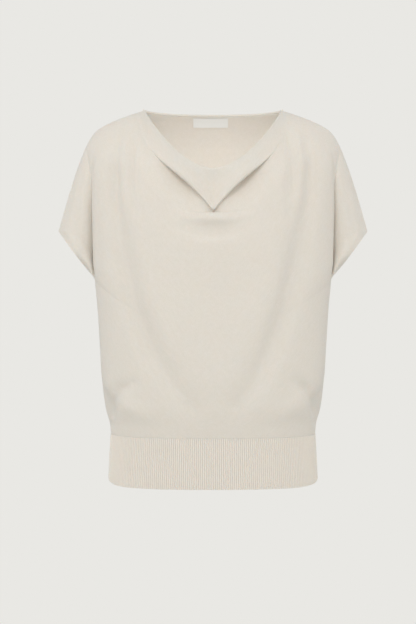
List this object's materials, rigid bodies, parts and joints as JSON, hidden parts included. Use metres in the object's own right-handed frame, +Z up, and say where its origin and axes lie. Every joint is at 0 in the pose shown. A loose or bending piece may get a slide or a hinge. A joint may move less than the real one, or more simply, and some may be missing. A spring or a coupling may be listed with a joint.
{
  "type": "cowl neck sweater",
  "caption": "Short-sleeved fine-knit sweater with a draped cowl neck, grown-on sleeves and a ribbed waistband, filled out as worn, with open neck, cuffs and hem",
  "frame": {"origin": "midway between the two shoulder-neck points, where the wearer's shoulders hold the garment", "axes": "+Z up; the front of the garment faces -Y; +X is on the right of someone looking at the front"},
  "size_m": [0.4826, 0.2343, 0.5823],
  "materials": {
    "fine_knit": "oatmeal fine-gauge jersey knit, matt and slightly melange",
    "rib_knit": "oatmeal rib knit, about 3 mm from rib to rib",
    "label_satin": "plain white woven satin, blank"
  },
  "bodies": {
    "root": {"front": "fine_knit", "back": "fine_knit", "waistband_front": "rib_knit", "waistband_back": "rib_knit", "back_neck_trim": "fine_knit", "label": "label_satin"}
  },
  "joints": []
}
